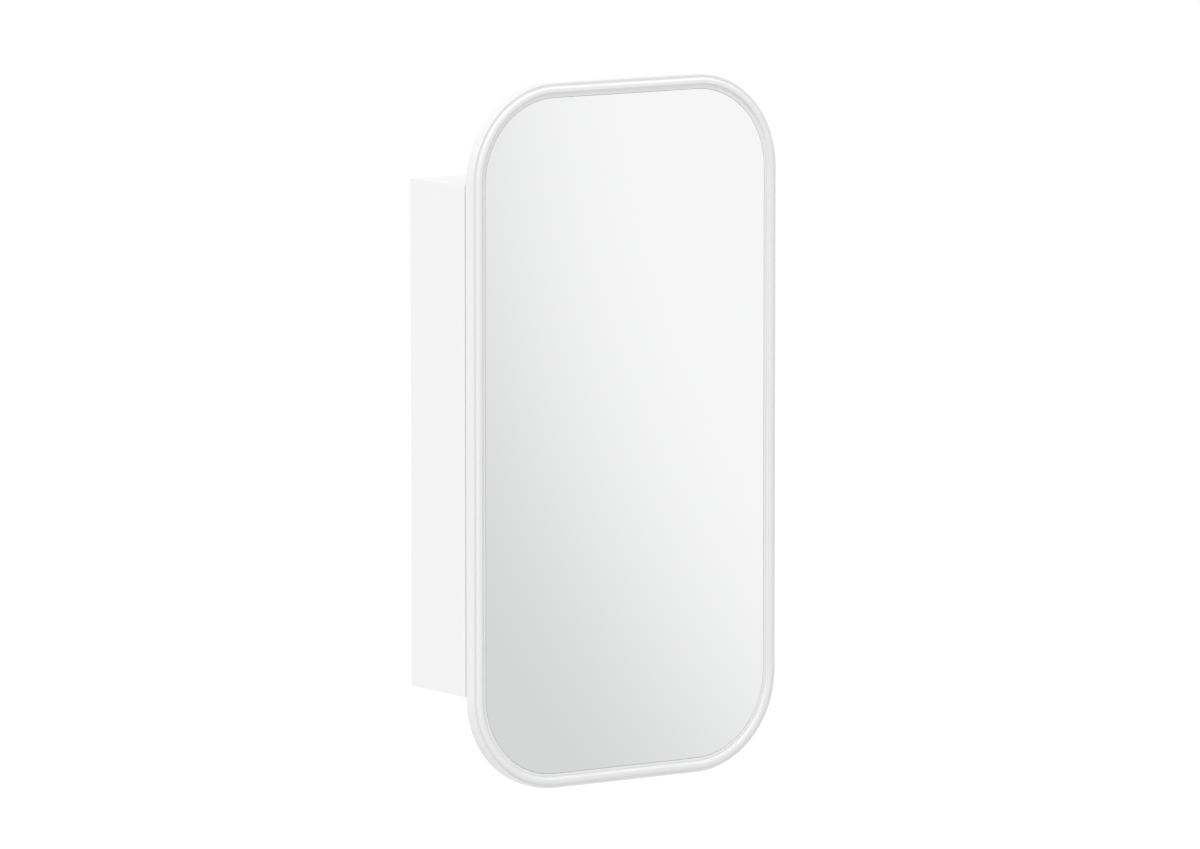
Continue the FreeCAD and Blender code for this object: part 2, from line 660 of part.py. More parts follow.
# Countersunk cross-head screw, head up at its origin
def make_screw(label, length, head_depth):
    body = make_body(label)
    profile = make_sketch(body, f"{label}_profile", "XZ_Plane")
    shank = "dims.screw_shank / 2"
    tip = f"-{length}"
    corners = [
        ("0", "0"),
        (f"{shank} + {head_depth}", "0"),
        (shank, f"-{head_depth}"),
        (shank, f"{tip} + dims.screw_tip"),
        ("0", tip),
    ]
    polygon(profile, corners)
    turned = body.newObject("PartDesign::Revolution", f"{label}_turned")
    turned.Profile = profile
    turned.ReferenceAxis = (profile, ["V_Axis"])
    turned.Angle = 360
    doc.recompute()
    cross = make_sketch(body, f"{label}_cross", "XY_Plane")
    arm = "dims.cross_arm / 2"
    slot = "dims.cross_slot / 2"
    outline = [(slot, slot), (slot, arm), (f"-{slot}", arm), (f"-{slot}", slot)]
    outline += [(f"-{arm}", slot), (f"-{arm}", f"-{slot}"), (f"-{slot}", f"-{slot}")]
    outline += [(f"-{slot}", f"-{arm}"), (slot, f"-{arm}"), (slot, f"-{slot}")]
    outline += [(arm, f"-{slot}"), (arm, slot)]
    polygon(cross, outline)
    pocket(body, f"{label}_drive", cross, "dims.cross_depth")
    return body


def strike_screw_levels():
    """Heights of the four screws that hold the two strike plates."""
    return [
        f"{level} * {CATCH_LEVEL} + {end} * dims.strike_screw_span / 2"
        for level in LEVELS.values()
        for end in (-1, 1)
    ]


def make_screws():
    facing_door = Rotation(Vector(1, 0, 0), 90)
    facing_wall = Rotation(Vector(1, 0, 0), -90)
    facing_right = Rotation(Vector(0, 1, 0), 90)
    hinge_screw = make_screw("hinge_screw", "dims.screw_length", "dims.hinge_leaf")
    head_y = "-dims.carcass_depth - dims.hinge_leaf"
    places = [(HINGE_SCREW_X, head_y, level, facing_door) for level in hinge_screw_levels()]
    copies("hinge_cabinet_screws", hinge_screw, places)
    head_y = f"-{DOOR_BACK} + dims.hinge_leaf"
    places = [(HINGE_SCREW_X, head_y, level, facing_wall) for level in hinge_screw_levels()]
    copies("hinge_door_screws", hinge_screw, places)
    head_x = f"-{INNER_HALF} + dims.catch_flange"
    head_y = f"-dims.carcass_depth + {CATCH_FLANGE_MID}"
    places = [(head_x, head_y, level, facing_right) for level in catch_screw_levels()]
    copies("catch_screws", hinge_screw, places)
    strike_screw = make_screw("strike_screw", "dims.strike_screw_length", "dims.strike_thickness")
    head_y = f"-{DOOR_BACK} + dims.strike_thickness"
    places = [(STRIKE_X, head_y, level, facing_wall) for level in strike_screw_levels()]
    copies("strike_screws", strike_screw, places)


# Magnetic catch on the left side: housing with two ears, a magnet and two steel poles
def make_catch(name, level):
    height = times(level, CATCH_LEVEL)
    label = f"{name}_catch_housing"
    body = make_body(label, f"-{INNER_HALF}", "-dims.carcass_depth", height)
    block = make_sketch(body, f"{name}_catch_block_sketch", "XY_Plane")
    rear = "dims.catch_setback + dims.catch_depth"
    rectangle(block, "0", "dims.catch_width", "dims.catch_setback", rear)
    pad(body, f"{name}_catch_block", block, "dims.catch_height", midplane=True)

    def is_inner_edge(point):
        return near(point.x, "dims.catch_width")

    round_edges(body, f"{name}_catch_edges", "dims.catch_round", is_inner_edge)
    ears = make_sketch(body, f"{name}_catch_ears_sketch", "YZ_Plane")
    low_y = f"{CATCH_FLANGE_MID} - dims.catch_flange_depth / 2"
    high_y = f"{CATCH_FLANGE_MID} + dims.catch_flange_depth / 2"
    rectangle(ears, low_y, high_y, "-dims.catch_flange_height / 2", "dims.catch_flange_height / 2")
    pad(body, f"{name}_catch_ears", ears, "dims.catch_flange")
    slot = make_sketch(body, f"{name}_catch_slot_sketch", "XZ_Plane", "-dims.catch_setback")
    slot_end = "dims.catch_flange + dims.catch_slot_width"
    half_slot = "dims.catch_slot_height / 2"
    rectangle(slot, "dims.catch_flange", slot_end, f"-{half_slot}", half_slot)
    pocket(body, f"{name}_catch_slot", slot, "dims.catch_slot_depth")
    screws = [(CATCH_FLANGE_MID, f"{end} * dims.catch_screw_span / 2") for end in (-1, 1)]
    countersink(body, f"{name}_catch_seats", "YZ_Plane", "dims.catch_flange", screws, "dims.hinge_leaf")
    keep(body, label)

    fit = "dims.fit_clearance"
    core_height = f"dims.catch_slot_height - 2 * {fit}"
    magnet = doc.addObject("Part::Box", f"{name}_catch_magnet")
    magnet.setExpression("Length", f"dims.catch_slot_width - 2 * dims.pole_thickness - 4 * {fit}")
    magnet.setExpression("Width", f"{SLOT_FLOOR} - {fit} - dims.magnet_setback")
    magnet.setExpression("Height", core_height)
    magnet_x = f"-{INNER_HALF} + dims.catch_flange + dims.pole_thickness + 2 * {fit}"
    base_z = f"{height} - dims.catch_slot_height / 2 + {fit}"
    place(magnet, magnet_x, "-dims.carcass_depth + dims.magnet_setback", base_z)
    keep(magnet, f"{name}_catch_magnet")

    pole = doc.addObject("Part::Box", f"{name}_catch_pole")
    pole.setExpression("Length", "dims.pole_thickness")
    pole.setExpression("Width", f"{SLOT_FLOOR} - {fit} + {POLE_REACH}")
    pole.setExpression("Height", core_height)
    pole_y = f"-dims.carcass_depth - {POLE_REACH}"
    left_x = f"-{INNER_HALF} + dims.catch_flange + {fit}"
    right_x = f"-{INNER_HALF} + {slot_end} - dims.pole_thickness - {fit}"
    places = [(x, pole_y, base_z, Rotation()) for x in (left_x, right_x)]
    copies(f"{name}_catch_poles", pole, places)


def make_strike(name, level):
    label = f"{name}_strike_plate"
    body = make_body(label, STRIKE_X, f"-{DOOR_BACK}", times(level, CATCH_LEVEL))
    outline = make_sketch(body, f"{name}_strike_outline", "XZ_Plane")
    rounded_rectangle(outline, "dims.strike_width", "dims.strike_height", "dims.strike_corner")
    pad(body, f"{name}_strike_pad", outline, "dims.strike_thickness", reverse=True)
    screws = [("0", f"{end} * dims.strike_screw_span / 2") for end in (-1, 1)]
    face = "-dims.strike_thickness"
    countersink(body, f"{name}_strike_seats", "XZ_Plane", face, screws, "dims.strike_thickness", True)
    keep(body, label)


# Soft buttons that the closed door comes to rest on
def make_bumpers():
    body = make_body("door_bumper")
    outline = make_sketch(body, "bumper_outline", "XZ_Plane")
    circles(outline, [("0", "0")], "dims.bumper_diameter")
    height = f"({DOOR_GAP} - dims.bumper_clearance)"
    pad(body, "bumper_pad", outline, height)
    rim = f"min(dims.bumper_round; {height} - dims.least_land)"
    round_edges(body, "bumper_rim", rim, lambda point: near(-point.y, height))
    x = "dims.board / 2 - dims.cabinet_width / 2"
    z = f"({CARCASS_HEIGHT} / 2 - dims.bumper_inset)"
    places = [(x, "-dims.carcass_depth", times(level, z), Rotation()) for level in LEVELS.values()]
    copies("door_bumpers", body, places)


def check_document():
    """Stop if any object failed or any piece is not the sound solids that it should be."""
    doc.recompute()
    for thing in doc.Objects:
        if "Invalid" in thing.State or "Error" in thing.State:
            raise RuntimeError(f"{thing.Label} failed: {thing.State}")
    for label, (thing, solids) in nodes.items():
        shape = thing.Shape
        if shape.isNull() or not shape.isValid():
            raise RuntimeError(f"{label} has no valid shape")
        if len(shape.Solids) != solids:
            raise RuntimeError(f"{label} has {len(shape.Solids)} solids, not {solids}")


def export_nodes():
    """Write each piece to its own file."""
    os.makedirs("parts", exist_ok=True)
    for label, (thing, solids) in nodes.items():
        thing.Shape.exportStep(f"parts/{label}.step")
        print(f"{label}: {solids} solid(s), {thing.Shape.Volume / 1000:.2f} cm3")


make_sides()
level_panel("top_panel", 1)
level_panel("bottom_panel", -1)
make_back()
make_dowels()
for shelf_name, shelf_level in SHELVES.items():
    make_shelf(f"{shelf_name}_shelf", shelf_level)
make_shelf_pins()
make_door()
make_mirror()
make_leaf("hinge_cabinet_leaf", 1, 0)
make_leaf("hinge_door_leaf", -1, 1)
make_hinge_pin()
make_screws()
for catch_name, catch_level in LEVELS.items():
    make_catch(catch_name, catch_level)
    make_strike(catch_name, catch_level)
make_bumpers()
check_document()
export_nodes()
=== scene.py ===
# %% [markdown]
# # A mirror cabinet, from bare frame to finished picture
# The frame holds the cabinet as a joiner would build it: boards, shelves, a hinge and a door, each in its
# place and at its real size in metres. X runs to the viewer's right, Y into the wall and Z up, and the wall
# is at Y = 0. The lesson leaves every part where it is. It makes the door and its mirror anew, because soft
# mouldings need finer surfaces than a frame carries, and then gives every piece a finish that has the grain
# and gloss of the real one.

import bpy
import numpy as np
from mathutils import Matrix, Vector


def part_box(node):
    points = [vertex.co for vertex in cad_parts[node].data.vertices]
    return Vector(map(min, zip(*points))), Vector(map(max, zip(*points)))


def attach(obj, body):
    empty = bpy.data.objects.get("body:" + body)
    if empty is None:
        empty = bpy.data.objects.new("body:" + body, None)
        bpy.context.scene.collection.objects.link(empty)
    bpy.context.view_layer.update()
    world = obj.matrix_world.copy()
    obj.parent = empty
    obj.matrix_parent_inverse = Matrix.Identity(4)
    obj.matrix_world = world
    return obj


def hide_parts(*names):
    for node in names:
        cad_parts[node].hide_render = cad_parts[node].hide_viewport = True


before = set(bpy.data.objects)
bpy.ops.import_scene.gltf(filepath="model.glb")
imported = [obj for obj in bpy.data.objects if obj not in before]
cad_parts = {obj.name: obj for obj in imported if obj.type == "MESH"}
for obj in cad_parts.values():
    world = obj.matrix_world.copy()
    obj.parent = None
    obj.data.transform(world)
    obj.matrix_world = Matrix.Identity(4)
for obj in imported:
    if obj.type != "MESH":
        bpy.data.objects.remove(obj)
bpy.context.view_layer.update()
scene = bpy.context.scene
scene.view_settings.view_transform = "Standard"
MM = 0.001

# %% [markdown]
# ## Writing shader maths as Python
# A material is a graph of nodes, and a formula such as 1 - mask takes a node for every sign in it. Adding
# and linking them one by one hides the formula, so one small class wraps an output socket. Its operators
# add the Math nodes, and its node method adds any other node: the node's type, its settings, and what goes
# into its sockets.

# %% Wrap a socket
class Wire:
    """An output socket of a node tree; an expression on wires adds the Math nodes that work it out."""

    def __init__(self, tree, socket=None):
        self.tree = tree
        self.socket = socket

    def node(self, kind, settings=None, sockets=None, output=0):
        """Add a node of this kind, set it up, fill or link its sockets, and return one of its outputs."""
        made = self.tree.nodes.new(kind)
        for name, value in (settings or {}).items():
            setattr(made, name, value)
        for name, value in (sockets or {}).items():
            if isinstance(value, Wire):
                self.tree.links.new(value.socket, made.inputs[name])
            else:
                made.inputs[name].default_value = value
        return Wire(self.tree, made.outputs[output])

    def math(self, operation, *values):
        return self.node("ShaderNodeMath", {"operation": operation}, dict(enumerate(values)))

    def __add__(self, other):
        return self.math("ADD", self, other)

    def __radd__(self, other):
        return self.math("ADD", other, self)

    def __sub__(self, other):
        return self.math("SUBTRACT", self, other)

    def __rsub__(self, other):
        return self.math("SUBTRACT", other, self)

    def __mul__(self, other):
        return self.math("MULTIPLY", self, other)

    def __rmul__(self, other):
        return self.math("MULTIPLY", other, self)

    def __gt__(self, other):
        return self.math("GREATER_THAN", self, other)

    def __abs__(self):
        return self.math("ABSOLUTE", self)

    def larger(self, other):
        return self.math("MAXIMUM", self, other)

    def smooth(self, low, high):
        """0 below low, 1 above high, and an S curve between them."""
        settings = {"interpolation_type": "SMOOTHSTEP"}
        return self.node("ShaderNodeMapRange", settings, {"Value": self, "From Min": low, "From Max": high})

    def colour(self, low, high):
        """The colour low where this value is 0, high where it is 1, and their mix between."""
        return self.node("ShaderNodeMix", {"data_type": "RGBA"}, {0: self, 6: low, 7: high}, output=2)


def grey(level):
    """A neutral colour of this level."""
    return (level, level, level, 1.0)


print("operators:", [name for name in vars(Wire) if name.startswith("__")])

# %% [markdown]
# ## Starting a finish
# Every finish here is the standard surface shader with some sockets held constant and a few that vary over
# the surface. The variation reads Object coordinates, which are the row frame in metres, so a grain has its
# real size and stays put on a moving door. Three helpers cover what all finishes share: a new shader, a
# noise and a bump.

# %% Make the helpers for finishes
SHADER = "Principled BSDF"


def start_finish(name, constants):
    """A new material with these constant shader sockets, and a wire of Object coordinates to build on."""
    material = bpy.data.materials.new(name)
    material.use_nodes = True
    for socket, value in constants.items():
        material.node_tree.nodes[SHADER].inputs[socket].default_value = value
    place = Wire(material.node_tree).node("ShaderNodeTexCoord", output="Object")
    return material, place


def feed(material, **wires):
    """Link wires to the shader's sockets; base_color feeds Base Color, and so on."""
    for name, wire in wires.items():
        socket = material.node_tree.nodes[SHADER].inputs[name.replace("_", " ").title()]
        material.node_tree.links.new(wire.socket, socket)


def grain(place, size, stretch=(1.0, 1.0, 1.0), detail=2.0):
    """Noise from 0 to 1 whose lumps are about this size in metres, drawn out along an axis by its stretch."""
    scale = tuple(1 / (size * length) for length in stretch)
    mapped = place.node("ShaderNodeMapping", {}, {"Vector": place, "Scale": scale})
    return place.node("ShaderNodeTexNoise", {}, {"Vector": mapped, "Scale": 1.0, "Detail": detail})


def bump(height, depth):
    """A normal tilted by this height, which stands for up to depth metres."""
    return height.node("ShaderNodeBump", {}, {"Height": height, "Distance": depth}, output="Normal")


print("helpers: start_finish, feed, grain, bump")

# %% [markdown]
# ## Camera
# The picture is taken from the front left and a little above, through a long lens from far off, so that
# parallel edges stay nearly parallel. Its direction, distance and lens were worked out from where the
# door's four straight edges and its round corners lie in the picture. A constraint could aim the camera.
# Here its three axes are worked out and written into one matrix, because the picture's centre lies beside
# the cabinet's, and not on it.

# %% Aim the camera
AZIMUTH = np.radians(34.965)
ELEVATION = np.radians(7.161)
DISTANCE = 12.371
AIM_ASIDE = -33.2 * MM
AIM_ABOVE = 8.1 * MM
SENSOR_WIDTH = 36.0
FOCAL_LENGTH = 291.53
BEAD_HEIGHT = 3 * MM

door_low, door_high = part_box("door_panel")
step_plane = door_low.y + BEAD_HEIGHT
toward = np.array([-np.sin(AZIMUTH) * np.cos(ELEVATION), -np.cos(AZIMUTH) * np.cos(ELEVATION)])
camera_back = np.append(toward, np.sin(ELEVATION))
camera_right = np.array([np.cos(AZIMUTH), -np.sin(AZIMUTH), 0.0])
camera_up = np.cross(camera_back, camera_right)
aim = np.array([0.0, step_plane, 0.0]) + AIM_ASIDE * camera_right + AIM_ABOVE * camera_up
pose = np.eye(4)
pose[:3] = np.column_stack([camera_right, camera_up, camera_back, aim + DISTANCE * camera_back])

lens = bpy.data.cameras.new("camera")
lens.sensor_fit = "HORIZONTAL"
lens.sensor_width = SENSOR_WIDTH
lens.lens = FOCAL_LENGTH
camera = bpy.data.objects.new("camera", lens)
camera.matrix_world = Matrix(pose.tolist())
scene.collection.objects.link(camera)
scene.camera = camera
print("camera at", np.round(pose[:3, 3], 3))

# %% [markdown]
# ## Putting arrays into meshes
# Blender can build a mesh from operators, but a shape that is a formula is best worked out whole, as an
# array of points, and handed over at once. A profile carried round a closed path gives a grid of points:
# one row for each point of the profile, one column for each step of the path. Faces join neighbours, and
# the last column meets the first, so there is no seam. The normals come from the formula too, which keeps
# flat bands flat next to round ones.

# %% Make the mesh helpers
def make_mesh(name, points, faces, normals=None):
    """A mesh object at the origin from points, faces and, where known, the points' normals."""
    mesh = bpy.data.meshes.new(name)
    mesh.from_pydata(points.tolist(), [], faces)
    mesh.polygons.foreach_set("use_smooth", np.ones(len(mesh.polygons), bool))
    if normals is not None:
        mesh.normals_split_custom_set_from_vertices(normals.tolist())
    made = bpy.data.objects.new(name, mesh)
    scene.collection.objects.link(made)
    return made


def grid_faces(rows, columns, closed=False):
    """Four-sided faces between neighbours of a grid of points, whose last column may meet its first."""
    row, column = np.meshgrid(np.arange(rows - 1), np.arange(columns - (0 if closed else 1)), indexing="ij")
    after = (column + 1) % columns
    here, below = row * columns, (row + 1) * columns
    corners = [here + column, here + after, below + after, below + column]
    return np.stack(corners, axis=-1).reshape(-1, 4)


print("helpers: make_mesh, grid_faces")

# %% [markdown]
# ## Floor, backdrop and light
# The cabinet hangs in front of plain white, with soft light from above and from the left: the top edges are
# the brightest, the left side next, and what looks down or right is the darkest. A broad sun gives that
# order, and a white sky fills the rest. The camera, mirrors and glass see the sky at full white, while the
# light that reaches the paint comes from a dimmer one. The sun stays out of the gloss, where it would only
# glitter along the thin mouldings. The pale floor lies where a bathroom floor would, well below the
# picture.

# %% Set up the sky
SKY_LIGHT = 0.875
WHITE = 1.0


def seen_directly(start):
    """1 for what the camera, a mirror or glass looks at, and 0 for light on its way to paint."""
    rays = start.node("ShaderNodeLightPath", output="Is Camera Ray")
    outputs = rays.socket.node.outputs
    glossy = Wire(start.tree, outputs["Is Glossy Ray"])
    through = Wire(start.tree, outputs["Is Transmission Ray"])
    return rays.larger(glossy).larger(through)


sky = bpy.data.worlds.new("sky")
sky.use_nodes = True
scene.world = sky
background = sky.node_tree.nodes["Background"]
background.inputs["Color"].default_value = grey(WHITE)
sky_strength = SKY_LIGHT + (WHITE - SKY_LIGHT) * seen_directly(Wire(sky.node_tree))
sky.node_tree.links.new(sky_strength.socket, background.inputs["Strength"])
print("sky light:", SKY_LIGHT)

# %% Hang the sun
SUN_STRENGTH = 1.13
SUN_ANGLE = np.radians(20)
SUN_FROM = np.array([-0.57, -0.28, 0.77])


def facing(direction):
    """A turn whose own Z axis points this way, as a lamp needs to shine from there."""
    z = direction / np.linalg.norm(direction)
    x = np.cross([0.0, 1.0, 0.0], z)
    x = x / np.linalg.norm(x)
    turn = np.eye(4)
    turn[:3, :3] = np.column_stack([x, np.cross(z, x), z])
    return Matrix(turn.tolist())


sun = bpy.data.objects.new("sun", bpy.data.lights.new("sun", "SUN"))
sun.data.energy = SUN_STRENGTH
sun.data.angle = SUN_ANGLE
sun.matrix_world = facing(SUN_FROM)
sun.visible_glossy = False
scene.collection.objects.link(sun)
print("sun from", SUN_FROM)

# %% Lay the floor
HANGING_HEIGHT = 1.5
FLOOR_REACH = 40.0
FLOOR_PALE = 0.76
FLOOR_LIFT = 0.2
SPECKLE_SIZE = 30 * MM


def floor_paint():
    """Pale matt floor; a little light of its own, for those who look at it, brings it up to white.

    Its underside is clear, so that the cabinet can be looked at from below.
    """
    material, place = start_finish("floor_paint", {"Roughness": 0.9, "Emission Strength": 1.0})
    speckle = grain(place, SPECKLE_SIZE)
    lift = FLOOR_LIFT * seen_directly(place)
    underside = place.node("ShaderNodeNewGeometry", output="Backfacing")
    feed(material, base_color=speckle.colour(grey(FLOOR_PALE), grey(FLOOR_PALE + 0.01)),
         emission_color=lift.colour(grey(0.0), grey(WHITE)), alpha=1 - underside)
    return material


side = np.array([-FLOOR_REACH, FLOOR_REACH])
across, along = np.meshgrid(side, side, indexing="ij")
floor_points = np.stack([across, along, np.full_like(across, -HANGING_HEIGHT)], axis=-1).reshape(-1, 3)
floor = make_mesh("floor", floor_points, grid_faces(2, 2)[:, ::-1].tolist())
floor.data.materials.append(floor_paint())
print("floor at", -HANGING_HEIGHT)

# %% [markdown]
# ## Something for the mirror to see
# A mirror shows its surroundings, and in front of an even white sky it would be a white hole. A
# photographer stands a tall curved card round the piece, and the glass shows its shade: grey at the near
# lower end of the picture and light at the far upper end. Towards the other side the card only grows
# lighter from bottom to top. It is a cylinder about the cabinet, worked out from a bearing and a height, so
# the mirror of an open door has something to show too. High up at the front it is a soft lamp, which draws
# the bright line along the top of the bead. Only gloss sees the card: it throws no light or shadow on the
# paint. Nor does the mirror throw light on the paint, which would be slow to draw cleanly.

# %% Stand the card
CARD_RADIUS = 2.5
CARD_HALF_HEIGHT = 4.0
CARD_STEPS = 96
CARD_GREY = (0.715, 0.720, 0.723, 1.0)
CARD_LIGHT = 0.99
CARD_RISE = 0.52
CARD_BOW = 0.35
CARD_DARK_END = -0.51
CARD_LIGHT_END = 0.215
FAR_SIDE = (-0.9, -1.8)
FAR_RISE = (-0.4, 1.1)
FAR_SHARE = 0.7
LAMP_LIGHT = 3.8
LAMP_FRONT = (0.7, -0.7)
LAMP_RISE = (1.2, 2.2)
STRAY_LIGHT = 3.0

onward = np.array([np.sin(AZIMUTH), -np.cos(AZIMUTH), 0.0])
card_across = np.array([np.cos(AZIMUTH), np.sin(AZIMUTH), 0.0])
card_foot = np.array([0.0, step_plane, -CARD_RADIUS * np.tan(ELEVATION)])
card_centre = card_foot + CARD_RADIUS * onward


def card_shade():
    """Grey to light along a slant: across plus a share of the height, less a share of both squared.

    The lamp grows from nothing to full with the height, and towards the front.
    """
    constants = {"Base Color": grey(0.0), "Specular IOR Level": 0.0, "Emission Strength": 1.0}
    material, place = start_finish("card_shade", constants)
    from_centre = place.node("ShaderNodeVectorMath", {"operation": "SUBTRACT"},
                             {0: place, 1: tuple(card_centre)})
    aside = from_centre.node("ShaderNodeVectorMath", {"operation": "DOT_PRODUCT"},
                             {0: from_centre, 1: tuple(card_across / np.cos(AZIMUTH))}, output="Value")
    height = from_centre.node("ShaderNodeSeparateXYZ", {}, {"Vector": from_centre}, output="Z")
    slant = aside + CARD_RISE * height - CARD_BOW * (aside * aside + height * height)
    far_light = aside.smooth(*FAR_SIDE) * height.smooth(*FAR_RISE)
    light = slant.smooth(CARD_DARK_END, CARD_LIGHT_END) + FAR_SHARE * far_light
    shade = light.colour(CARD_GREY, grey(CARD_LIGHT))
    back = place.node("ShaderNodeSeparateXYZ", {}, {"Vector": place}, output="Y")
    lamp = back.smooth(*LAMP_FRONT) * height.smooth(*LAMP_RISE)
    feed(material, emission_color=lamp.colour(shade, grey(LAMP_LIGHT)))
    return material


turns = np.arange(CARD_STEPS) / CARD_STEPS * 2 * np.pi
level, bearing = np.meshgrid([-CARD_HALF_HEIGHT, CARD_HALF_HEIGHT], turns, indexing="ij")
ring = np.stack([CARD_RADIUS * np.sin(bearing), -CARD_RADIUS * np.cos(bearing), level], axis=-1)
card_points = (ring + card_foot).reshape(-1, 3)
card = make_mesh("card", card_points, grid_faces(2, CARD_STEPS, closed=True).tolist())
card.data.materials.append(card_shade())
card.visible_camera = False
card.visible_diffuse = False
card.visible_shadow = False
card.visible_transmission = False
scene.cycles.caustics_reflective = False
scene.cycles.sample_clamp_indirect = STRAY_LIGHT
print("card round", np.round(card_foot, 2))

# %% [markdown]
# ## A profile with rounded corners
# A cutter leaves a moulding of flats and arcs, and every arc runs smoothly into the flats beside it. So the
# profile is written as a joiner would draw it: a few corner points and the radius that each corner is
# rounded to. The arc touches both sides at the radius times the tangent of half the turn from the corner,
# and its centre lies one radius to the side from there. Worked out for all corners at once, this gives the
# profile's points and its exact normals.

# %% Round the corners of a profile
ARC_STEPS = 10


def rounded_profile(corners):
    """Points and normals along a polyline whose inner corners (inset, height, radius) become arcs."""
    corners = np.array(corners)
    points, radii = corners[:, :2], corners[1:-1, 2:]
    along = np.diff(points, axis=0)
    along = along / np.linalg.norm(along, axis=1, keepdims=True)
    left = np.column_stack([-along[:, 1], along[:, 0]])
    before = left[:-1]
    turn = np.arctan2((before * along[1:]).sum(1), (along[:-1] * along[1:]).sum(1))[:, None]
    start = points[1:-1] - along[:-1] * radii * np.tan(np.abs(turn) / 2)
    centre = start + before * radii * np.sign(turn)
    angle = turn * np.linspace(0, 1, ARC_STEPS)
    normal = (before[:, None] * np.cos(angle)[..., None] - along[:-1, None] * np.sin(angle)[..., None])
    arcs = centre[:, None] - normal * (radii * np.sign(turn))[..., None]
    path = np.concatenate([points[:1], arcs.reshape(-1, 2), points[-1:]])
    normals = np.concatenate([left[:1], normal.reshape(-1, 2), left[-1:]])
    return path, normals


print("arc steps:", ARC_STEPS)

# %% Carry a profile round the door
CORNER_STEPS = 40


def carried_round(name, half_width, half_height, corner_radius, back, profile):
    """A solid from a profile carried round a rounded rectangle.

    A point of the path is a corner's centre plus the corner's radius times a direction, for directions that
    sweep a quarter turn in each corner. An inset shortens that radius, and a height moves the point forward
    from the back. The first and last rows of points bound the flat back and front, which close the solid.
    """
    path, profile_normal = rounded_profile(profile)
    quarter = np.linspace(0, np.pi / 2, CORNER_STEPS + 1)
    angle = (np.arange(4)[:, None] * np.pi / 2 + quarter).ravel()
    middle = np.repeat(np.arange(4) * np.pi / 2 + np.pi / 4, CORNER_STEPS + 1)
    outward = np.column_stack([np.cos(angle), np.zeros_like(angle), np.sin(angle)])
    reach = np.array([half_width - corner_radius, 0.0, half_height - corner_radius])
    centre = np.sign(np.column_stack([np.cos(middle), np.zeros_like(middle), np.sin(middle)])) * reach
    forward = np.array([0.0, -1.0, 0.0])
    inset, height = path[:, 0, None, None], path[:, 1, None, None]
    points = centre + (corner_radius - inset) * outward + height * forward + np.array([0.0, back, 0.0])
    normals = -profile_normal[:, :1, None] * outward + profile_normal[:, 1:, None] * forward
    rows, columns = points.shape[:2]
    faces = grid_faces(rows, columns, closed=True).tolist()
    first = np.arange(columns)
    faces += [first[::-1].tolist(), (first + (rows - 1) * columns).tolist()]
    return make_mesh(name, points.reshape(-1, 3), faces, normals.reshape(-1, 3))


print("steps in each corner:", CORNER_STEPS)

# %% [markdown]
# ## The door
# The door is one board, cut to a rounded outline and routed on its face: a low step at the rim that dips to
# a quirk, the joiner's word for a crease beside a bead, a raised bead that rises steeply and rolls over
# slowly, a soft ogee down to a flat, slightly raised fillet, and a recess for the mirror. Bevelled boxes
# could imitate it, but the shading of such a slim moulding is all that the eye sees of it, so the real
# profile is swept round the door. The ogee is two equal arcs, and the corner points of its tangents follow
# from its width and fall.

# %% Sweep the door
CORNER_RADIUS = 124 * MM
QUIRK_START = 1.3 * MM
QUIRK_DEPTH = 0.65 * MM
STEP_WIDTH = 4.35 * MM
SHOULDER_HEIGHT = 1.25 * MM
SHOULDER_WIDTH = 2.8 * MM
SHOULDER_ROUND = 2.0 * MM
CREST_ROUND = 4.7 * MM
OGEE_START = 10.6 * MM
OGEE_WIDTH = 3.75 * MM
FILLET_START = 14.8 * MM
FILLET_SLOPE = 0.35 * MM
FILLET_RISE = 0.4 * MM
MIRROR_EDGE = 18.4 * MM
RIM_ROUND = 0.6 * MM
SMALL_ROUND = 0.3 * MM
INNER_ROUND = 0.15 * MM
FLAT_INSET = 40 * MM

door_depth = door_high.y - door_low.y
step_height = door_depth - BEAD_HEIGHT
recess_height = door_high.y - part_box("mirror_tape")[1].y
ogee_fall = BEAD_HEIGHT + FILLET_RISE
ogee_turn = 2 * np.arctan2(ogee_fall, OGEE_WIDTH)
ogee_radius = OGEE_WIDTH / 2 / np.sin(ogee_turn)
ogee_tangent = ogee_radius * np.tan(ogee_turn / 2)
door_profile = [
    (FLAT_INSET, 0.0, 0.0),
    (0.0, 0.0, RIM_ROUND),
    (0.0, step_height, RIM_ROUND),
    (QUIRK_START, step_height, SMALL_ROUND),
    (STEP_WIDTH, step_height - QUIRK_DEPTH, INNER_ROUND),
    (STEP_WIDTH, step_height + SHOULDER_HEIGHT, SHOULDER_ROUND),
    (STEP_WIDTH + SHOULDER_WIDTH, door_depth, CREST_ROUND),
    (OGEE_START + ogee_tangent, door_depth, ogee_radius),
    (OGEE_START + OGEE_WIDTH - ogee_tangent, door_depth - ogee_fall, ogee_radius),
    (FILLET_START, door_depth - ogee_fall, INNER_ROUND),
    (FILLET_START + FILLET_SLOPE, step_height, INNER_ROUND),
    (MIRROR_EDGE, step_height, SMALL_ROUND),
    (MIRROR_EDGE, recess_height, INNER_ROUND),
    (FLAT_INSET, recess_height, 0.0),
]
door = carried_round("moulded_door", door_high.x, door_high.z, CORNER_RADIUS, door_high.y, door_profile)
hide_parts("door_panel")
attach(door, "door")
print("door:", len(door.data.polygons), "faces, ogee radius", round(ogee_radius / MM, 2), "mm")

# %% [markdown]
# ## The mirror
# The mirror is a sheet of float glass, silvered on its back, with the same round corners as its recess and
# its edges ground to a fine arris. The same sweep makes it. Its outline is the recess less a hair of
# clearance, and that thin dark gap is what draws the line round the mirror in the picture.

# %% Sweep the mirror
ARRIS = 0.3 * MM

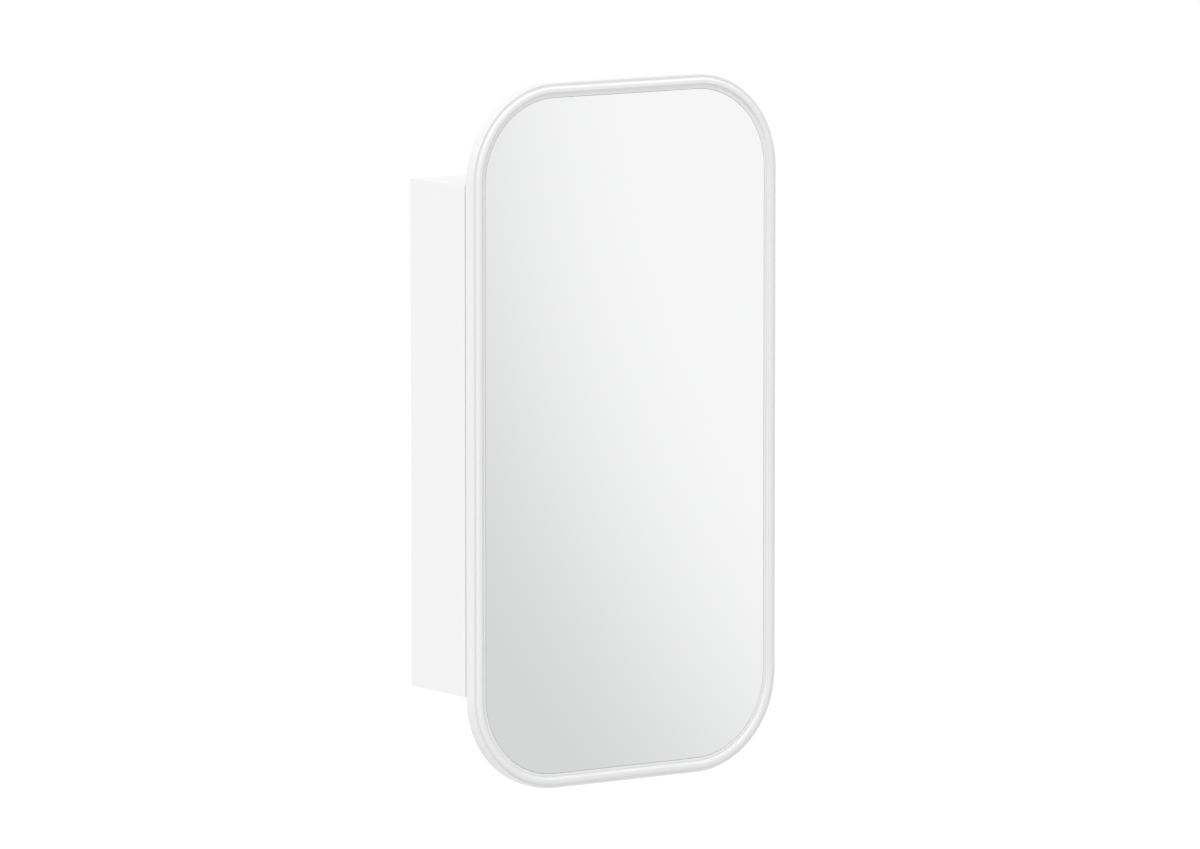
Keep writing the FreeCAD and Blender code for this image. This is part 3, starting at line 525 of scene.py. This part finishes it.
mirror_low, mirror_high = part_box("mirror_glass")
glass_thickness = mirror_high.y - mirror_low.y
mirror_inset = door_high.x - mirror_high.x
mirror_radius = CORNER_RADIUS - mirror_inset
mirror_profile = [
    (FLAT_INSET, 0.0, 0.0),
    (0.0, 0.0, ARRIS),
    (0.0, glass_thickness, ARRIS),
    (FLAT_INSET, glass_thickness, 0.0),
]
mirror = carried_round("mirror_pane", mirror_high.x, mirror_high.z, mirror_radius, mirror_high.y,
                       mirror_profile)
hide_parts("mirror_glass")
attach(mirror, "door")
print("mirror:", len(mirror.data.polygons), "faces,", round(mirror_inset / MM, 2), "mm inside the door")

# %% [markdown]
# ## White lacquer
# The door is sprayed with satin white lacquer. Sprayed paint is never quite flat: it dries to a fine orange
# peel, a skin of shallow swells a millimetre or two across, and its gloss drifts a little over a panel.
# Both are too small to model, so they are noise, one in the bump and one in the roughness. The boards of
# the box are painted too, with a roller, which leaves a finer and drier stipple.

# %% Mix the paints
LACQUER_WHITE = 0.80
PAINT_WHITE = 0.82
DRIFT_SIZE = 120 * MM


def white_paint(name, white, peel_size, peel_depth, gloss):
    """Satin white: gloss is the roughness, which drifts by a tenth, and the peel is a bump."""
    material, place = start_finish(name, {"IOR": 1.46})
    drift = grain(place, DRIFT_SIZE)
    peel = grain(place, peel_size)
    feed(material, base_color=drift.colour(grey(white - 0.004), grey(white + 0.004)),
         roughness=gloss * (0.9 + 0.2 * drift), normal=bump(peel, peel_depth))
    return material


door_lacquer = white_paint(
    "door_lacquer", LACQUER_WHITE, peel_size=1.6 * MM, peel_depth=0.001 * MM, gloss=0.34)
carcass_paint = white_paint(
    "carcass_paint", PAINT_WHITE, peel_size=0.7 * MM, peel_depth=0.002 * MM, gloss=0.45)
print("paints:", door_lacquer.name, carcass_paint.name)

# %% [markdown]
# ## Silvered glass
# A mirror is nearly all reflection, a touch cool because the light passes the glass twice. A metal without
# roughness gives that. Its ground edge shows the glass itself, which is matt and greener, so the edge is
# picked out by its distance from the front face.

# %% Silver the mirror
SILVER = (0.928, 0.930, 0.931, 1.0)
GLASS_EDGE = (0.55, 0.66, 0.62, 1.0)
GROUND = 0.5
MIRROR_FILM = 90 * MM
FACE_SKIN = 0.02 * MM


def silvered_glass():
    """Bright silver on the face; behind it the matt green of the ground arris and edge."""
    material, place = start_finish("silvered_glass", {})
    depth = place.node("ShaderNodeSeparateXYZ", {}, {"Vector": place}, output="Y")
    edge = depth > mirror_low.y + FACE_SKIN
    film = grain(place, MIRROR_FILM)
    feed(material, base_color=edge.colour(SILVER, GLASS_EDGE), metallic=1 - edge,
         roughness=0.002 + 0.004 * film + GROUND * edge)
    return material


mirror_silver = silvered_glass()
print("mirror:", mirror_silver.name)

# %% [markdown]
# ## Clear shelf glass
# The shelves are clear float glass with polished edges. Glass takes its colour from the depth that light
# travels in it, so a shelf is clear from above and green along its edges. A volume would do that but is
# lost in an exported model, so the edge is found from its place, near the outline of the shelf, and tinted
# there.

# %% Cut the shelf glass
CLEAR = (0.955, 0.975, 0.968, 1.0)
EDGE_GREEN = (0.52, 0.74, 0.66, 1.0)
EDGE_DEPTH = 0.7 * MM
SHELF_FILM = 60 * MM

shelf_low, shelf_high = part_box("upper_shelf")
shelf_middle = (shelf_low.y + shelf_high.y) / 2
shelf_half_depth = (shelf_high.y - shelf_low.y) / 2


def shelf_glass():
    """Clear glass, with a green tint within a thin margin of the shelf's outline."""
    material, place = start_finish("shelf_glass", {"Transmission Weight": 1.0, "IOR": 1.52})
    x = abs(place.node("ShaderNodeSeparateXYZ", {}, {"Vector": place}, output="X"))
    y = abs(place.node("ShaderNodeSeparateXYZ", {}, {"Vector": place}, output="Y") - shelf_middle)
    edge = (x > shelf_high.x - EDGE_DEPTH).larger(y > shelf_half_depth - EDGE_DEPTH)
    film = grain(place, SHELF_FILM)
    feed(material, base_color=edge.colour(CLEAR, EDGE_GREEN), roughness=0.004 + 0.01 * film)
    return material


clear_glass = shelf_glass()
print("shelf glass:", clear_glass.name)

# %% [markdown]
# ## Metals
# The hinge is brushed stainless steel, with fine scratches along its length. The screws, strike plates and
# pole pieces are zinc plated, slightly blue and cloudy, and the shelf pins are nickel plated, warmer and
# brighter. All are the same metal shader. What tells them apart is the shape of the noise that drives
# colour and roughness.

# %% Plate the metals
STEEL_DARK = (0.55, 0.55, 0.54, 1.0)
STEEL_LIGHT = (0.68, 0.68, 0.67, 1.0)
ZINC_DARK = (0.52, 0.55, 0.58, 1.0)
ZINC_LIGHT = (0.70, 0.72, 0.74, 1.0)
NICKEL_DARK = (0.62, 0.59, 0.54, 1.0)
NICKEL_LIGHT = (0.72, 0.69, 0.64, 1.0)


def plated(name, dark, light, size, stretch, gloss, depth):
    """Metal whose colour, roughness and fine relief all follow one noise of this size and stretch."""
    material, place = start_finish(name, {"Metallic": 1.0})
    marks = grain(place, size, stretch, detail=4.0)
    feed(material, base_color=marks.colour(dark, light), roughness=gloss * (0.75 + 0.5 * marks),
         normal=bump(marks, depth))
    return material


hinge_steel = plated("hinge_steel", STEEL_DARK, STEEL_LIGHT, 0.25 * MM, (1, 1, 120), 0.30, 0.003 * MM)
zinc_steel = plated("zinc_steel", ZINC_DARK, ZINC_LIGHT, 2.5 * MM, (1, 1, 1), 0.34, 0.002 * MM)
pin_nickel = plated("pin_nickel", NICKEL_DARK, NICKEL_LIGHT, 1.2 * MM, (1, 1, 1), 0.20, 0.001 * MM)
print("metals:", hinge_steel.name, zinc_steel.name, pin_nickel.name)

# %% [markdown]
# ## Plastic, ferrite, wood, rubber and foam
# The small parts show when the door is open. The catch housings are moulded white plastic with a
# spark-eroded texture, and their magnets are dull, grainy ferrite. The dowels are beech, with grain along
# the peg and short dark flecks. The door's buttons are clear soft rubber, and the tape behind the mirror is
# open white foam.

# %% Mix the small parts' finishes
MOULD_TEXTURE = 0.35 * MM
MOULD_FLOW = 25 * MM
MAGNET_GRIT = 0.5 * MM
BEECH_DARK = (0.46, 0.29, 0.17, 1.0)
BEECH_LIGHT = (0.64, 0.44, 0.28, 1.0)
FLECK_DARK = (0.30, 0.16, 0.08, 1.0)
BEECH_FIBRE = 0.8 * MM
BEECH_FLECK = 0.5 * MM
FLECK_EDGE = (0.62, 0.72)
RUBBER_CLOUD = 1.5 * MM
CELL_SIZE = 0.6 * MM
CELL_DEPTH = 0.1 * MM
PIT_SHADE_REACH = 0.7


def moulded_plastic():
    """White plastic with the fine even texture of its mould."""
    material, place = start_finish("catch_plastic", {"IOR": 1.5})
    texture = grain(place, MOULD_TEXTURE, detail=1.0)
    flow = grain(place, MOULD_FLOW)
    feed(material, base_color=flow.colour(grey(0.80), grey(0.83)), roughness=0.38 + 0.12 * texture,
         normal=bump(texture, 0.01 * MM))
    return material


def ferrite():
    """Pressed and fired magnet: dark, matt and grainy."""
    material, place = start_finish("ferrite", {})
    grit = grain(place, MAGNET_GRIT, detail=5.0)
    feed(material, base_color=grit.colour(grey(0.03), grey(0.09)), roughness=0.55 + 0.3 * grit,
         normal=bump(grit, 0.03 * MM))
    return material


def beech():
    """Pale pink-brown wood: long soft grain with short dark flecks over it."""
    material, place = start_finish("beech", {})
    fibre = grain(place, BEECH_FIBRE, (25, 1, 1), detail=4.0)
    fleck = grain(place, BEECH_FLECK, (6, 1, 1)).smooth(*FLECK_EDGE)
    wood = fibre.colour(BEECH_DARK, BEECH_LIGHT)
    feed(material, base_color=(0.6 * fleck).colour(wood, FLECK_DARK), roughness=0.5 + 0.2 * fibre,
         normal=bump(fibre, 0.05 * MM))
    return material


def clear_rubber():
    """Clear soft button, a little cloudy."""
    material, place = start_finish("clear_rubber", {"Transmission Weight": 0.3, "IOR": 1.49})
    cloud = grain(place, RUBBER_CLOUD)
    feed(material, base_color=cloud.colour(grey(0.82), grey(0.92)), roughness=0.18 + 0.15 * cloud)
    return material


def foam_tape():
    """Open white foam: small round cells, each painted darker in its pit as painted shade."""
    material, place = start_finish("foam_tape", {})
    sockets = {"Vector": place, "Scale": 1 / CELL_SIZE}
    cells = place.node("ShaderNodeTexVoronoi", {}, sockets, output="Distance")
    # Painted shade: the colour darkens from the cell walls into each cell's pit, where the bump sinks lowest.
    pit_shade_fade = cells.smooth(0.0, PIT_SHADE_REACH)
    feed(material, base_color=pit_shade_fade.colour(grey(0.66), grey(0.82)), roughness=0.8 + 0.1 * cells,
         normal=bump(cells, CELL_DEPTH))
    return material


catch_plastic = moulded_plastic()
magnet_ferrite = ferrite()
dowel_beech = beech()
button_rubber = clear_rubber()
tape_foam = foam_tape()
small_finishes = [catch_plastic, magnet_ferrite, dowel_beech, button_rubber, tape_foam]
print("small parts:", [finish.name for finish in small_finishes])

# %% [markdown]
# ## Dressing every piece
# Each part of the frame already stands in its place, so it only needs its finish. Names tell which: a part
# whose name ends in screws is zinc plated, one that ends in panel is painted, and so on. The loop stops at
# a part that no name fits, because a forgotten one would show in the picture as plain grey.

# %% Dress the frame
ENDINGS = {
    "side_panel": carcass_paint,
    "top_panel": carcass_paint,
    "bottom_panel": carcass_paint,
    "back_panel": carcass_paint,
    "door_panel": door_lacquer,
    "mirror_glass": mirror_silver,
    "shelf": clear_glass,
    "leaf": hinge_steel,
    "hinge_pin": hinge_steel,
    "screws": zinc_steel,
    "plate": zinc_steel,
    "poles": zinc_steel,
    "shelf_pins": pin_nickel,
    "housing": catch_plastic,
    "magnet": magnet_ferrite,
    "dowels": dowel_beech,
    "bumpers": button_rubber,
    "tape": tape_foam,
}


def put_on(piece, finish):
    """Fill the piece's material slots with one finish, or give it a slot."""
    if not piece.material_slots:
        piece.data.materials.append(finish)
    for material_slot in piece.material_slots:
        material_slot.material = finish


for node_name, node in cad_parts.items():
    matches = [finish for ending, finish in ENDINGS.items() if node_name.endswith(ending)]
    put_on(node, matches[0])
put_on(door, door_lacquer)
put_on(mirror, mirror_silver)
print("dressed:", len(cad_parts), "parts and", door.name, mirror.name)

# %% [markdown]
